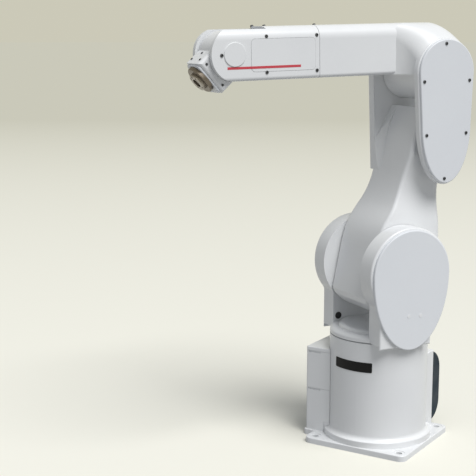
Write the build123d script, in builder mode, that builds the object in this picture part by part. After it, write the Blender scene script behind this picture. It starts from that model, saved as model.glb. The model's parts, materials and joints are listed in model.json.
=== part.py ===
from build123d import *
from math import cos, sin, radians, sqrt
import os

# Six-axis industrial robot arm, floor standing, in millimetres.
# The origin is the centre of the base's underside, on the turning axis of the arm.
# +X is the front of the base, +Y its left side and +Z is up.

# Pose that the arm is drawn in, in degrees
turn = -31.4            # arm plane about Z, from +X
lean = 11.8             # upper arm, backwards from upright
forearm_pitch = -1.15   # forearm, upwards from level
wrist_bend = 41.0       # wrist, downwards from the forearm
fold_limit = 72.0       # furthest that the forearm folds down from square to the upper arm

# Link lengths between the axes
shoulder_height = 400.0
upper_arm_length = 435.0
forearm_offset = 50.0
forearm_length = 470.0
wrist_length = 85.0

# Clearances
seat_gap = 0.3          # turned faces that run on each other
part_gap = 0.5          # seams between fixed covers
swing_gap = 5.0         # between swinging castings

# Base
foot_width = 245.0
foot_thickness = 13.0
foot_corner_radius = 16.0
foot_edge_radius = 2.0
foot_bolt_pitch = 205.0
foot_bolt_hole_d = 14.0
foot_spot_face_d = 26.0
foot_spot_face_depth = 1.0
foot_ring_radius = 121.0
foot_ring_rise = 14.0
foot_ring_edge_radius = 2.0
foot_ring_fillet = 9.0
tower_radius = 109.5
tower_drop = 155.0      # from the shoulder axis down to the top of the tower
seal_thickness = 2.5
seal_inset = 3.0
seal_width = 12.0

# Wiring housing and rear housing
side_box_front = 70.0
side_box_back = -113.0
side_box_outer = 146.5
side_box_inner = 60.0
side_box_drop = 37.0    # from the top of the tower
side_box_seam = 112.0
side_lid_thickness = 9.0
side_box_corner_radius = 5.0
side_lid_edge_radius = 2.5
side_foot_margin = 4.0
side_foot_corner_radius = 8.0
grip_groove_height = 4.0
grip_groove_depth = 2.5
grip_groove_margin = 6.0
rear_box_half_width = 87.0
rear_box_back = -113.0
rear_box_drop = 54.0    # from the top of the tower
rear_box_corner_radius = 5.0
rear_cover_margin = 3.0
rear_cover_top_margin = 8.0
rear_cover_depth = 49.0
rear_cover_bottom = 18.0
rear_cover_corner_radius = 46.0
rear_cover_edge_radius = 8.0
inlet_y = 117.0
power_inlet_height = 150.0
power_inlet_radius = 17.0
power_inlet_bore_radius = 12.0
signal_inlet_height = 70.0
signal_inlet_width = 32.0
signal_inlet_length = 56.0
inlet_depth = 12.0
inlet_wall = 3.0
inlet_edge_radius = 1.0

# Shoulder
ear_inner = 75.0
ear_radius = 101.0
ear_front = 75.0
ear_back = -56.0
ear_plate_overhang = 5.0
ear_plate_thickness = 4.5
ear_edge_radius = 4.0
ear_root_radius = 18.0
shoulder_half_width = 125.6
shoulder_cover_radius = 96.0
shoulder_cover_drop = 165.5
shoulder_cover_edge_radius = 2.5
motor_cover_half_width = 68.0
motor_cover_drop = 154.0
skirt_edge_height = 7.0
neck_radius = 90.0
neck_waist = 0.3        # share of the step from neck to skirt, at the curve's middle
neck_edge_radius = 8.0
hub_clearance = 27.0    # between the upper arm's hub and the neck's floor

# Upper arm
hub_radius = 104.0
hub_boss_radius = 62.0
hub_half_width = 73.5
arm_front = 68.0
arm_front_lip = 6.0
shin_height = 35.0
shin_upper_height = 130.0
shin_upper_front = 44.0
calf_height = 98.0
calf_back = 90.0
flare_height = 107.0
flare_middle_height = 140.0
flare_middle_half_width = 68.5
waist_height = 205.0
waist_front = 29.0
waist_back = 70.0
waist_half_width = 63.0
block_height = 290.0
block_half_width = 79.0
block_front = 17.5
block_shelf_drop = 130.0
block_shelf_front = 27.0
block_drop = 82.0       # from the elbow axis down to the block's top
arm_front_edge_radius = 7.0
arm_back_edge_radius = 16.0
tine_inner = 50.0
tine_half_width = 73.0
tine_radius = 88.0
tine_edge_radius = 5.0
tine_root_radius = 20.0
elbow_cap_radius = 72.0
elbow_cap_thickness = 7.0
elbow_cap_edge_radius = 3.5
back_cover_half_width = 46.0
back_cover_bottom_drop = 213.0
back_cover_top_drop = 99.0
back_cover_thickness = 4.0
back_cover_edge_radius = 1.3
back_cover_corner_radius = 10.0

# Elbow housing and rear half of the forearm
tube_width = 90.0
tube_height = 107.0
tube_top_radius = 26.0
tube_bottom_radius = 8.0
elbow_hub_radius = 62.0
roll_joint = 276.0
side_housing_inner = 86.0
side_housing_outer = 99.5
side_housing_margin = 3.0
elbow_cover_face = 106.0
elbow_cover_radius = 69.0
elbow_cover_waist = 63.0
elbow_cover_waist_drop = 110.0
elbow_cover_drop = 236.5
elbow_cover_edge_radius = 2.5
roof_edge_radius = 3.0
roof_corner_radius = 12.0
dome_back = 44.0
dome_front = 96.0
dome_front_radius = 30.0
dome_back_radius = 52.0
dome_middle = 66.0      # how far left its middle section lies
dome_middle_back = 54.0
dome_middle_front = 73.0
dome_middle_drop = 9.0  # below the tube's top
dome_middle_front_radius = 46.0
dome_middle_back_radius = 58.0

# Forearm front and wrist
fork_slot_half = 34.0
fork_slot_radius = 90.0  # round the wrist axis
fork_nose_reach = 51.0
fork_nose_radius = 34.0
wrist_hub_radius = 46.0
wrist_half_width = 32.5
wrist_head_length = 66.0
wrist_head_upper_height = 36.0
wrist_head_lower_height = 43.0
wrist_edge_radius = 7.0
head_plate_thickness = 4.0
head_plate_edge_radius = 1.3
head_plate_margin = 3.0
head_plate_corner_radius = 9.0
fork_cap_radius = 24.0
fork_cap_thickness = 2.0
fork_cap_edge_radius = 1.0
side_panel_start = 286.0
side_panel_margin = 36.0  # from the wrist axis backwards
side_panel_height = 66.0
side_panel_middle = 47.0
side_panel_thickness = 2.0
side_panel_proud = 0.4
side_panel_corner_radius = 9.0
roll_seal_inset = 4.0
roll_seal_width = 10.0
roll_seal_thickness = 0.6
reducer_radius = 31.0
reducer_thickness = 8.0
reducer_edge_radius = 1.5
flange_d = 40.0
flange_edge_radius = 1.0
flange_pilot_d = 20.0
flange_pilot_depth = 6.5
flange_bolt_circle = 31.5
flange_bolt_hole_d = 4.2
flange_bolt_depth = 6.0
flange_pin_d = 5.0

# Frames of the moving bodies
forward = Vector(cos(radians(turn)), sin(radians(turn)), 0)
up = Vector(0, 0, 1)


def tilted(origin, pitch):
    """Frame in the arm plane whose x axis points forwards, raised by the pitch."""
    x_dir = forward * cos(radians(pitch)) + up * sin(radians(pitch))
    z_dir = up * cos(radians(pitch)) - forward * sin(radians(pitch))
    return Plane(origin=origin, x_dir=x_dir, z_dir=z_dir)


def side(frame, y):
    """Sketch plane seen from the robot's right, at y to its left; extrudes to the right."""
    return Plane(frame.from_local_coords((0, y, 0)), x_dir=frame.x_dir, z_dir=-frame.y_dir)


def level(frame, z):
    """Sketch plane square to the frame's z axis, at height z."""
    return Plane(frame.from_local_coords((0, 0, z)), x_dir=frame.x_dir, z_dir=frame.z_dir)


def ahead(frame, x):
    """Sketch plane square to the frame's x axis, at x, with y to the left and z up."""
    return Plane(frame.from_local_coords((x, 0, 0)), x_dir=frame.y_dir, z_dir=frame.x_dir)


shoulder = tilted((0, 0, 0), 0)
leftwards = Axis((0, 0, 0), shoulder.y_dir)
upper = tilted(shoulder.from_local_coords((0, 0, shoulder_height)), lean)
fore = tilted(upper.from_local_coords((0, 0, upper_arm_length)), forearm_pitch)
wrist_centre = fore.from_local_coords((forearm_length, 0, forearm_offset))
wrist = tilted(wrist_centre, forearm_pitch - wrist_bend)
toolwards = Axis((0, 0, 0), wrist.x_dir)

os.makedirs("parts", exist_ok=True)


def save(builder, label):
    builder.part.label = label
    export_step(builder.part, f"parts/{label}.step")


# Base: a square foot, its raised ring and the round tower
tower_height = shoulder_height - tower_drop
ring_top = foot_thickness + foot_ring_rise
ring_edge = foot_ring_radius - foot_ring_edge_radius
with BuildPart() as base_casting:
    with BuildSketch(Plane.XY):
        RectangleRounded(foot_width, foot_width, foot_corner_radius)
        with Locations(((side_box_front + side_box_back) / 2, -side_box_outer / 2)):
            RectangleRounded(
                side_box_front - side_box_back + 2 * side_foot_margin,
                side_box_outer + 2 * side_foot_margin,
                side_foot_corner_radius,
            )
    extrude(amount=foot_thickness)
    fillet(base_casting.faces().sort_by(Axis.Z)[-1].edges(), foot_edge_radius)
    with BuildSketch(Plane.XZ):
        with BuildLine():
            Polyline(
                (tower_radius, ring_top + foot_ring_fillet),
                (0, ring_top + foot_ring_fillet),
                (0, foot_thickness),
                (foot_ring_radius, foot_thickness),
                (foot_ring_radius, ring_top - foot_ring_edge_radius),
            )
            RadiusArc(
                (foot_ring_radius, ring_top - foot_ring_edge_radius),
                (ring_edge, ring_top),
                -foot_ring_edge_radius,
            )
            Line((ring_edge, ring_top), (tower_radius + foot_ring_fillet, ring_top))
            RadiusArc(
                (tower_radius + foot_ring_fillet, ring_top),
                (tower_radius, ring_top + foot_ring_fillet),
                foot_ring_fillet,
            )
        make_face()
    revolve(axis=Axis.Z)
    with BuildSketch(Plane.XY.offset(ring_top)):
        Circle(tower_radius)
    extrude(amount=tower_height - ring_top)
    with Locations(Plane.XY.offset(foot_thickness)):
        with GridLocations(foot_bolt_pitch, foot_bolt_pitch, 2, 2):
            CounterBoreHole(foot_bolt_hole_d / 2, foot_spot_face_d / 2, foot_spot_face_depth)
save(base_casting, "base_casting")

with BuildPart() as base_seal:
    with BuildSketch(Plane.XY.offset(tower_height)):
        Circle(tower_radius - seal_inset)
        Circle(tower_radius - seal_inset - seal_width, mode=Mode.SUBTRACT)
    extrude(amount=seal_thickness)
save(base_seal, "base_seal")


def fit_round_tower(bottom, top):
    """Cuts the room of the tower, and of its foot ring, out of the part being built."""
    with Locations((0, 0, bottom)):
        Cylinder(
            tower_radius + part_gap,
            top - bottom,
            align=(Align.CENTER, Align.CENTER, Align.MIN),
            mode=Mode.SUBTRACT,
        )
    if bottom < ring_top:
        with Locations((0, 0, bottom)):
            Cylinder(
                foot_ring_radius + part_gap,
                ring_top + foot_ring_fillet + part_gap - bottom,
                align=(Align.CENTER, Align.CENTER, Align.MIN),
                mode=Mode.SUBTRACT,
            )


def side_box_outline():
    """Plan of the wiring housing, reaching in to the tower."""
    with Locations(((side_box_front + side_box_back) / 2, -(side_box_outer + side_box_inner) / 2)):
        RectangleRounded(
            side_box_front - side_box_back,
            side_box_outer - side_box_inner,
            side_box_corner_radius,
        )


# Wiring housing on the right of the tower: two stacked boxes under a lid,
# with a finger groove along the front of each seam
side_box_top = tower_height - side_box_drop
side_lid_bottom = side_box_top - side_lid_thickness
grip_half_length = (side_box_outer - tower_radius) / 2 - grip_groove_margin / 2
grip_middle = -(side_box_outer + tower_radius) / 2 + grip_groove_margin / 2
for label, bottom, top in (
    ("side_box_lower", foot_thickness, side_box_seam),
    ("side_box_upper", side_box_seam + part_gap, side_lid_bottom),
):
    with BuildPart() as side_box:
        with BuildSketch(Plane.XY.offset(bottom)):
            side_box_outline()
        extrude(amount=top - bottom)
        fit_round_tower(bottom, top)
        with Locations((side_box_front, grip_middle, top)):
            Box(
                2 * grip_groove_depth,
                2 * grip_half_length,
                grip_groove_height,
                align=(Align.CENTER, Align.CENTER, Align.MAX),
                mode=Mode.SUBTRACT,
            )
    save(side_box, label)

with BuildPart() as side_box_lid:
    with BuildSketch(Plane.XY.offset(side_lid_bottom + part_gap)):
        side_box_outline()
    extrude(amount=side_lid_thickness - part_gap)
    fillet(side_box_lid.faces().sort_by(Axis.Z)[-1].edges(), side_lid_edge_radius)
    fit_round_tower(side_lid_bottom, side_box_top)
save(side_box_lid, "side_box_lid")

# Rear housing of the tower, with its plain cover behind it
rear_box_top = tower_height - rear_box_drop
with BuildPart() as rear_box:
    with BuildSketch(Plane.XY.offset(foot_thickness)):
        right, left = -side_box_inner + part_gap, rear_box_half_width
        with Locations((rear_box_back / 2, (right + left) / 2)):
            RectangleRounded(-rear_box_back, left - right, rear_box_corner_radius)
    extrude(amount=rear_box_top - foot_thickness)
    fillet(rear_box.faces().sort_by(Axis.Z)[-1].edges(), side_lid_edge_radius)
    fit_round_tower(foot_thickness, rear_box_top)
save(rear_box, "rear_box")

cover_half_width = rear_box_half_width - rear_cover_margin
cover_top = rear_box_top - rear_cover_top_margin
with BuildPart() as rear_cover:
    with BuildSketch(Plane.XZ.offset(-cover_half_width)):
        with BuildLine():
            cover_back = rear_box_back - rear_cover_depth
            FilletPolyline(
                (rear_box_back, rear_cover_bottom),
                (cover_back, rear_cover_bottom),
                (cover_back, cover_top),
                (rear_box_back, cover_top),
                radius=rear_cover_corner_radius,
            )
            Line((rear_box_back, cover_top), (rear_box_back, rear_cover_bottom))
        make_face()
    extrude(amount=2 * cover_half_width)
    for flank in (rear_cover.faces().sort_by(Axis.Y)[0], rear_cover.faces().sort_by(Axis.Y)[-1]):
        fillet(flank.edges().sort_by(Axis.X)[:-1], rear_cover_edge_radius)
    with Locations((0, 0, rear_cover_bottom)):
        Cylinder(
            foot_ring_radius + part_gap,
            ring_top + foot_ring_fillet - rear_cover_bottom,
            align=(Align.CENTER, Align.CENTER, Align.MIN),
            mode=Mode.SUBTRACT,
        )
save(rear_cover, "rear_cover")

# Inlets for the machine cables on the back of the wiring housing
with BuildPart() as power_inlet:
    with BuildSketch(Plane.YZ.offset(side_box_back)):
        with Locations((-inlet_y, power_inlet_height)):
            Circle(power_inlet_radius)
    extrude(amount=-inlet_depth)
    fillet(power_inlet.edges().sort_by(Axis.X)[0], inlet_edge_radius)
    with BuildSketch(Plane.YZ.offset(side_box_back - inlet_depth)):
        with Locations((-inlet_y, power_inlet_height)):
            Circle(power_inlet_bore_radius)
    extrude(amount=inlet_depth - inlet_wall, mode=Mode.SUBTRACT)
save(power_inlet, "power_inlet")

with BuildPart() as signal_inlet:
    with BuildSketch(Plane.YZ.offset(side_box_back)):
        with Locations((-inlet_y, signal_inlet_height)):
            RectangleRounded(signal_inlet_width, signal_inlet_length, inlet_wall)
    extrude(amount=-inlet_depth)
    with BuildSketch(Plane.YZ.offset(side_box_back - inlet_depth)):
        with Locations((-inlet_y, signal_inlet_height)):
            Rectangle(signal_inlet_width - 2 * inlet_wall, signal_inlet_length - 2 * inlet_wall)
    extrude(amount=inlet_depth - inlet_wall, mode=Mode.SUBTRACT)
save(signal_inlet, "signal_inlet")


def ear_outline(bottom):
    """Outline of a shoulder ear in the side view: a disc on a column."""
    with Locations((0, shoulder_height)):
        Circle(ear_radius)
    with Locations(((ear_front + ear_back) / 2, (shoulder_height + bottom) / 2)):
        Rectangle(ear_front - ear_back, shoulder_height - bottom)


# Shoulder: skirt, neck and two ears in one casting
shoulder_bottom = tower_height + seal_thickness + seat_gap
neck_floor = shoulder_height - hub_radius - hub_clearance
ear_plate_inner = tower_radius + swing_gap
ear_plate_outer = ear_plate_inner + ear_plate_thickness
ear_plate_bottom = tower_height - ear_plate_overhang
ear_root = sqrt(ear_radius**2 - ear_front**2)
skirt_top = shoulder_bottom + skirt_edge_height
with BuildPart() as shoulder_yoke:
    with BuildSketch(Plane.XZ):
        with BuildLine():
            Polyline(
                (neck_radius - neck_edge_radius, neck_floor),
                (0, neck_floor),
                (0, shoulder_bottom),
                (tower_radius, shoulder_bottom),
                (tower_radius, skirt_top),
            )
            ThreePointArc(
                (tower_radius, skirt_top),
                (neck_radius + (tower_radius - neck_radius) * neck_waist, skirt_top + skirt_edge_height),
                (neck_radius, neck_floor - neck_edge_radius),
            )
            RadiusArc(
                (neck_radius, neck_floor - neck_edge_radius),
                (neck_radius - neck_edge_radius, neck_floor),
                -neck_edge_radius,
            )
        make_face()
    revolve(axis=Axis.Z)
    for ear_left, thickness, bottom in (
        (ear_plate_outer, ear_plate_outer - ear_inner, shoulder_bottom),
        (ear_plate_outer, ear_plate_thickness, ear_plate_bottom),
        (-ear_inner, ear_plate_outer - ear_inner, shoulder_bottom),
        (-ear_plate_inner, ear_plate_thickness, ear_plate_bottom),
    ):
        with BuildSketch(side(shoulder, ear_left)) as ear:
            ear_outline(bottom)
            roots = ear.vertices().sort_by_distance((ear_front, shoulder_height - ear_root))
            fillet(roots[0], ear_root_radius)
        extrude(amount=thickness)
    flanks = shoulder_yoke.faces().sort_by(leftwards)
    fillet(flanks[0].edges() + flanks[-1].edges(), ear_edge_radius)
save(shoulder_yoke, "shoulder_yoke")

with BuildPart() as shoulder_cover_left:
    with BuildSketch(side(shoulder, shoulder_half_width)):
        with Locations((0, shoulder_height)):
            Ellipse(shoulder_cover_radius, shoulder_cover_drop)
            Rectangle(
                2 * shoulder_cover_radius,
                shoulder_cover_drop,
                align=(Align.CENTER, Align.MIN),
                mode=Mode.SUBTRACT,
            )
            Circle(shoulder_cover_radius)
    extrude(amount=shoulder_half_width - ear_plate_outer)
    fillet(shoulder_cover_left.faces().sort_by(leftwards)[-1].edges(), shoulder_cover_edge_radius)
save(shoulder_cover_left, "shoulder_cover_left")

with BuildPart() as shoulder_cover_right:
    with BuildSketch(side(shoulder, -ear_plate_outer)):
        with Locations((0, shoulder_height)):
            Circle(shoulder_cover_radius)
            Rectangle(2 * motor_cover_half_width, motor_cover_drop, align=(Align.CENTER, Align.MAX))
    extrude(amount=shoulder_half_width - ear_plate_outer)
    fillet(shoulder_cover_right.faces().sort_by(leftwards)[0].edges(), shoulder_cover_edge_radius)
save(shoulder_cover_right, "shoulder_cover_right")


def edges_at(builder, frame, test):
    """Edges of a part whose middle, in a body's frame, passes the test."""
    return builder.edges().filter_by(lambda edge: test(frame.to_local_coords(edge @ 0.5)))


# Upper arm: a hub between the ears, a narrow waist, and a single tine at the elbow
elbow_height = upper_arm_length
block_top = elbow_height - block_drop
lip_drop = sqrt(hub_radius**2 - arm_front**2)

with BuildPart() as tine:
    with BuildSketch(side(upper, -tine_inner)):
        with BuildLine():
            Polyline(
                (waist_front, waist_height),
                (-waist_back, waist_height),
                (-waist_back, block_height),
                (-tine_radius, elbow_height),
            )
            ThreePointArc(
                (-tine_radius, elbow_height),
                (0, elbow_height + tine_radius),
                (tine_radius, elbow_height),
            )
            Line((tine_radius, elbow_height), (waist_front, waist_height))
        make_face()
    extrude(amount=tine_half_width - tine_inner)
    fillet(tine.faces().sort_by(leftwards)[0].edges(), tine_edge_radius)

with BuildPart() as upper_arm:
    with BuildSketch(side(upper, hub_half_width)):
        with BuildLine():
            Polyline((arm_front, shin_height), (arm_front, -lip_drop + arm_front_lip))
            Line(
                (arm_front, -lip_drop + arm_front_lip),
                (arm_front - arm_front_lip, -sqrt(hub_radius**2 - (arm_front - arm_front_lip) ** 2)),
            )
            ThreePointArc(
                (arm_front - arm_front_lip, -sqrt(hub_radius**2 - (arm_front - arm_front_lip) ** 2)),
                (0, -hub_radius),
                (-hub_radius, 0),
            )
            Spline(
                (-hub_radius, 0),
                (-calf_back, calf_height),
                (-waist_back, waist_height),
                (-waist_back, block_height),
                tangents=((0, 1), (0, 1)),
            )
            Polyline((-waist_back, block_height), (-waist_back, block_top), (block_front, block_top))
            Spline(
                (block_front, block_top),
                (block_shelf_front, elbow_height - block_shelf_drop),
                (waist_front, waist_height),
                (shin_upper_front, shin_upper_height),
                (arm_front, shin_height),
                tangents=((block_shelf_front - block_front, block_drop - block_shelf_drop), (0, -1)),
            )
        make_face()
    extrude(amount=2 * hub_half_width)
    with BuildSketch(ahead(upper, -2 * hub_radius)):
        with BuildLine():
            Polyline(
                (-hub_half_width, flare_height),
                (-hub_half_width, -2 * hub_radius),
                (hub_half_width, -2 * hub_radius),
                (hub_half_width, flare_height),
            )
            Spline(
                (hub_half_width, flare_height),
                (flare_middle_half_width, flare_middle_height),
                (waist_half_width, waist_height),
                (block_half_width, block_height),
                tangents=((0, 1), (0, 1)),
            )
            Polyline(
                (block_half_width, block_height),
                (block_half_width, elbow_height),
                (-tine_half_width, elbow_height),
                (-tine_half_width, block_height),
            )
            Spline(
                (-tine_half_width, block_height),
                (-waist_half_width, waist_height),
                (-flare_middle_half_width, flare_middle_height),
                (-hub_half_width, flare_height),
                tangents=((0, -1), (0, -1)),
            )
        make_face()
    extrude(amount=4 * hub_radius, mode=Mode.INTERSECT)
    fillet(
        edges_at(
            upper_arm,
            upper,
            lambda p: p.X < -waist_back / 2 and abs(p.Y) > tine_inner and p.Z > flare_height,
        ),
        arm_back_edge_radius,
    )
    fillet(
        edges_at(upper_arm, upper, lambda p: p.X > waist_front / 2 and abs(p.Y) > tine_inner),
        arm_front_edge_radius,
    )
    add(tine.part)
    tine_slope = (tine_radius - waist_front) / (elbow_height - waist_height)
    tine_front = waist_front + (block_top - waist_height) * tine_slope
    with BuildSketch(side(upper, -tine_inner)):
        Polygon(
            (waist_front, waist_height),
            (tine_front, block_top),
            (0, block_top),
            (0, waist_height),
            align=None,
        )
    extrude(amount=-tine_root_radius)
    with BuildSketch(level(upper, waist_height)):
        with Locations((waist_front + tine_root_radius, tine_root_radius - tine_inner)):
            Circle(tine_root_radius)
    extrude(amount=block_top - waist_height, mode=Mode.SUBTRACT)
    with BuildSketch(side(upper, 0)):
        with Locations((block_front, block_top)):
            Rectangle(
                elbow_height,
                elbow_height,
                rotation=90 - fold_limit,
                align=(Align.MIN, Align.CENTER),
            )
    extrude(amount=tine_inner, mode=Mode.SUBTRACT)
    with BuildSketch(side(upper, ear_inner - seat_gap)):
        Circle(hub_boss_radius)
    extrude(amount=2 * (ear_inner - seat_gap))
save(upper_arm, "upper_arm")

with BuildPart() as elbow_cap_right:
    with BuildSketch(side(upper, -tine_half_width)):
        with Locations((0, elbow_height)):
            Circle(elbow_cap_radius)
    extrude(amount=elbow_cap_thickness)
    fillet(elbow_cap_right.edges().sort_by(leftwards)[0], elbow_cap_edge_radius)
save(elbow_cap_right, "elbow_cap_right")

with BuildPart() as arm_back_cover:
    with BuildSketch(ahead(upper, -waist_back)):
        with Locations((0, elbow_height - (back_cover_bottom_drop + back_cover_top_drop) / 2)):
            RectangleRounded(
                2 * back_cover_half_width,
                back_cover_bottom_drop - back_cover_top_drop,
                back_cover_corner_radius,
            )
    extrude(amount=-back_cover_thickness)
    back_edges = edges_at(arm_back_cover, upper, lambda p: p.X < -waist_back - back_cover_thickness / 2)
    fillet(back_edges, back_cover_edge_radius)
save(arm_back_cover, "arm_back_cover")


def hanging_outline(margin):
    """Long rounded outline that hangs from the elbow axis, grown by a margin."""
    foot = elbow_cover_waist_drop
    radius = elbow_cover_radius + margin
    waist = elbow_cover_waist + margin
    Circle(radius)
    Polygon((-radius, 0), (-waist, -foot), (waist, -foot), (radius, 0), align=None)
    with Locations((0, -foot)):
        Ellipse(waist, elbow_cover_drop + margin - foot)


def tube_section(sketch):
    """Cross-section of the forearm, with a rounder top than bottom."""
    with Locations((0, forearm_offset)):
        Rectangle(tube_width, tube_height)
    fillet(sketch.vertices().group_by(Axis.Y)[-1], tube_top_radius)
    fillet(sketch.vertices().group_by(Axis.Y)[0], tube_bottom_radius)


# Elbow: the tube's rear end, its hub on the elbow axis, the hanging side housing,
# and the dome that blends the tube into it
tube_bottom = forearm_offset - tube_height / 2
tube_top = forearm_offset + tube_height / 2
half_tube = tube_width / 2
dome_end_radius = elbow_cover_radius - side_housing_margin
dome_sections = (
    (half_tube - swing_gap, dome_front, dome_back, tube_top, dome_front_radius, dome_back_radius),
    (
        dome_middle,
        dome_middle_front,
        dome_middle_back,
        tube_top - dome_middle_drop,
        dome_middle_front_radius,
        dome_middle_back_radius,
    ),
    (
        side_housing_outer - side_housing_margin / 2,
        elbow_cover_radius,
        elbow_cover_radius,
        elbow_cover_radius,
        dome_end_radius,
        dome_end_radius,
    ),
)
with BuildPart() as elbow_housing:
    for y, front, back, top, front_radius, back_radius in dome_sections:
        with BuildSketch(side(fore, y)):
            with BuildLine():
                FilletPolyline(
                    (front, tube_bottom),
                    (front, top),
                    (-back, top),
                    (-back, tube_bottom),
                    radius=[front_radius, back_radius],
                )
                Line((-back, tube_bottom), (front, tube_bottom))
            make_face()
    loft()
    with BuildSketch(side(fore, half_tube - swing_gap)) as roof:
        Circle(elbow_hub_radius)
        with BuildLine():
            FilletPolyline(
                (half_tube, 0),
                (half_tube, tube_top),
                (-dome_back, tube_top),
                (-dome_back, 0),
                radius=[roof_corner_radius, dome_back_radius],
            )
            Line((-dome_back, 0), (half_tube, 0))
        make_face()
        for x in (half_tube, -dome_back):
            root = roof.vertices().sort_by_distance((x, sqrt(elbow_hub_radius**2 - x**2)))[0]
            fillet(root, roof_corner_radius)
    extrude(amount=half_tube - swing_gap + tine_inner - seat_gap)
    fillet(elbow_housing.faces().sort_by(leftwards)[0].edges(), roof_edge_radius)
    with BuildSketch(side(fore, side_housing_inner)):
        Circle(elbow_hub_radius)
    extrude(amount=side_housing_inner - half_tube + swing_gap)
    with BuildSketch(ahead(fore, 0)) as section:
        tube_section(section)
    extrude(amount=roll_joint)
    with BuildSketch(side(fore, side_housing_outer)):
        hanging_outline(side_housing_margin)
    extrude(amount=side_housing_outer - side_housing_inner)
    rim = elbow_housing.faces().sort_by(leftwards)[-1]
    fillet(rim.edges(), side_housing_margin)
save(elbow_housing, "elbow_housing")

with BuildPart() as elbow_cover_left:
    with BuildSketch(side(fore, elbow_cover_face)):
        hanging_outline(0)
    extrude(amount=elbow_cover_face - side_housing_outer)
    fillet(elbow_cover_left.faces().sort_by(leftwards)[-1].edges(), elbow_cover_edge_radius)
save(elbow_cover_left, "elbow_cover_left")

# Seal ring let into the end of the rear tube
with BuildPart() as roll_seal:
    with BuildSketch(ahead(fore, roll_joint)):
        with Locations((0, forearm_offset)):
            Circle(half_tube - roll_seal_inset)
            Circle(half_tube - roll_seal_inset - roll_seal_width, mode=Mode.SUBTRACT)
    extrude(amount=roll_seal_thickness)
save(roll_seal, "roll_seal")

# Forearm front: a tube that rolls and ends in a rounded fork
roll_start = roll_joint + roll_seal_thickness + seat_gap
nose_end = forearm_length + fork_nose_reach
panel_end = forearm_length - side_panel_margin
panel_middle = (side_panel_start + panel_end) / 2
panel_pocket = side_panel_thickness - side_panel_proud
with BuildPart() as forearm_front:
    with BuildSketch(ahead(fore, roll_start)) as section:
        tube_section(section)
    extrude(amount=nose_end - roll_start)
    with BuildSketch(side(fore, half_tube)):
        with Locations((forearm_length, forearm_offset)):
            Ellipse(fork_nose_reach, tube_height / 2)
            Rectangle(forearm_length, tube_height, align=(Align.MAX, Align.CENTER))
    extrude(amount=tube_width, mode=Mode.INTERSECT)
    with BuildSketch(level(fore, tube_bottom)):
        with Locations((nose_end, 0)):
            RectangleRounded(2 * nose_end, tube_width, fork_nose_radius)
    extrude(amount=tube_height, mode=Mode.INTERSECT)
    with BuildSketch(side(fore, fork_slot_half)):
        with Locations((forearm_length, forearm_offset)):
            Circle(fork_slot_radius)
    extrude(amount=2 * fork_slot_half, mode=Mode.SUBTRACT)
    for flank in (half_tube, panel_pocket - half_tube):
        with BuildSketch(side(fore, flank)):
            with Locations((panel_middle, side_panel_middle)):
                RectangleRounded(
                    panel_end - side_panel_start,
                    side_panel_height,
                    side_panel_corner_radius,
                )
        extrude(amount=panel_pocket, mode=Mode.SUBTRACT)
save(forearm_front, "forearm_front")

# Plates let into the forearm's flanks and caps over the fork's bearings
for label, face in (("left", half_tube + side_panel_proud), ("right", panel_pocket - half_tube)):
    with BuildPart() as forearm_panel:
        with BuildSketch(side(fore, face)):
            with Locations((panel_middle, side_panel_middle)):
                RectangleRounded(
                    panel_end - side_panel_start - 2 * part_gap,
                    side_panel_height - 2 * part_gap,
                    side_panel_corner_radius - part_gap,
                )
        extrude(amount=side_panel_thickness)
    save(forearm_panel, f"forearm_panel_{label}")

for label, face in (("left", half_tube + fork_cap_thickness), ("right", -half_tube)):
    with BuildPart() as fork_cap:
        with BuildSketch(side(fore, face)):
            with Locations((forearm_length, forearm_offset)):
                Circle(fork_cap_radius)
        extrude(amount=fork_cap_thickness)
        outer = fork_cap.faces().sort_by(leftwards)[-1 if label == "left" else 0]
        fillet(outer.edges(), fork_cap_edge_radius)
    save(fork_cap, f"fork_cap_{label}")

# Wrist: a barrel in the fork with the tool end's square head
with BuildPart() as wrist_housing:
    with BuildSketch(side(wrist, wrist_half_width)):
        Circle(wrist_hub_radius)
        Polygon(
            (0, wrist_head_upper_height),
            (wrist_head_length, wrist_head_upper_height),
            (wrist_head_length, -wrist_head_lower_height),
            (0, -wrist_head_lower_height),
            align=None,
        )
    extrude(amount=2 * wrist_half_width)
    flanks = wrist_housing.faces().sort_by(leftwards)
    fillet(flanks[0].edges() + flanks[-1].edges(), wrist_edge_radius)
    with BuildSketch(side(wrist, fork_slot_half - seat_gap)):
        Circle(wrist_half_width)
    extrude(amount=2 * (fork_slot_half - seat_gap))
save(wrist_housing, "wrist_housing")

with BuildPart() as wrist_head_plate:
    with BuildSketch(ahead(wrist, wrist_head_length)):
        with Locations((0, (wrist_head_upper_height - wrist_head_lower_height) / 2)):
            RectangleRounded(
                2 * (wrist_half_width - wrist_edge_radius + head_plate_margin),
                wrist_head_upper_height + wrist_head_lower_height - 2 * head_plate_margin,
                head_plate_corner_radius,
            )
    extrude(amount=head_plate_thickness)
    fillet(wrist_head_plate.faces().sort_by(toolwards)[-1].edges(), head_plate_edge_radius)
save(wrist_head_plate, "wrist_head_plate")

# Tool end: the reducer's disc and the flange that the tool is bolted to
disc_start = wrist_head_length + head_plate_thickness + seat_gap
disc_end = disc_start + reducer_thickness
with BuildPart() as reducer_disc:
    with BuildSketch(ahead(wrist, disc_start)):
        Circle(reducer_radius)
    extrude(amount=reducer_thickness)
    chamfer(reducer_disc.edges().sort_by(toolwards)[-1], reducer_edge_radius)
save(reducer_disc, "reducer_disc")

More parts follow.
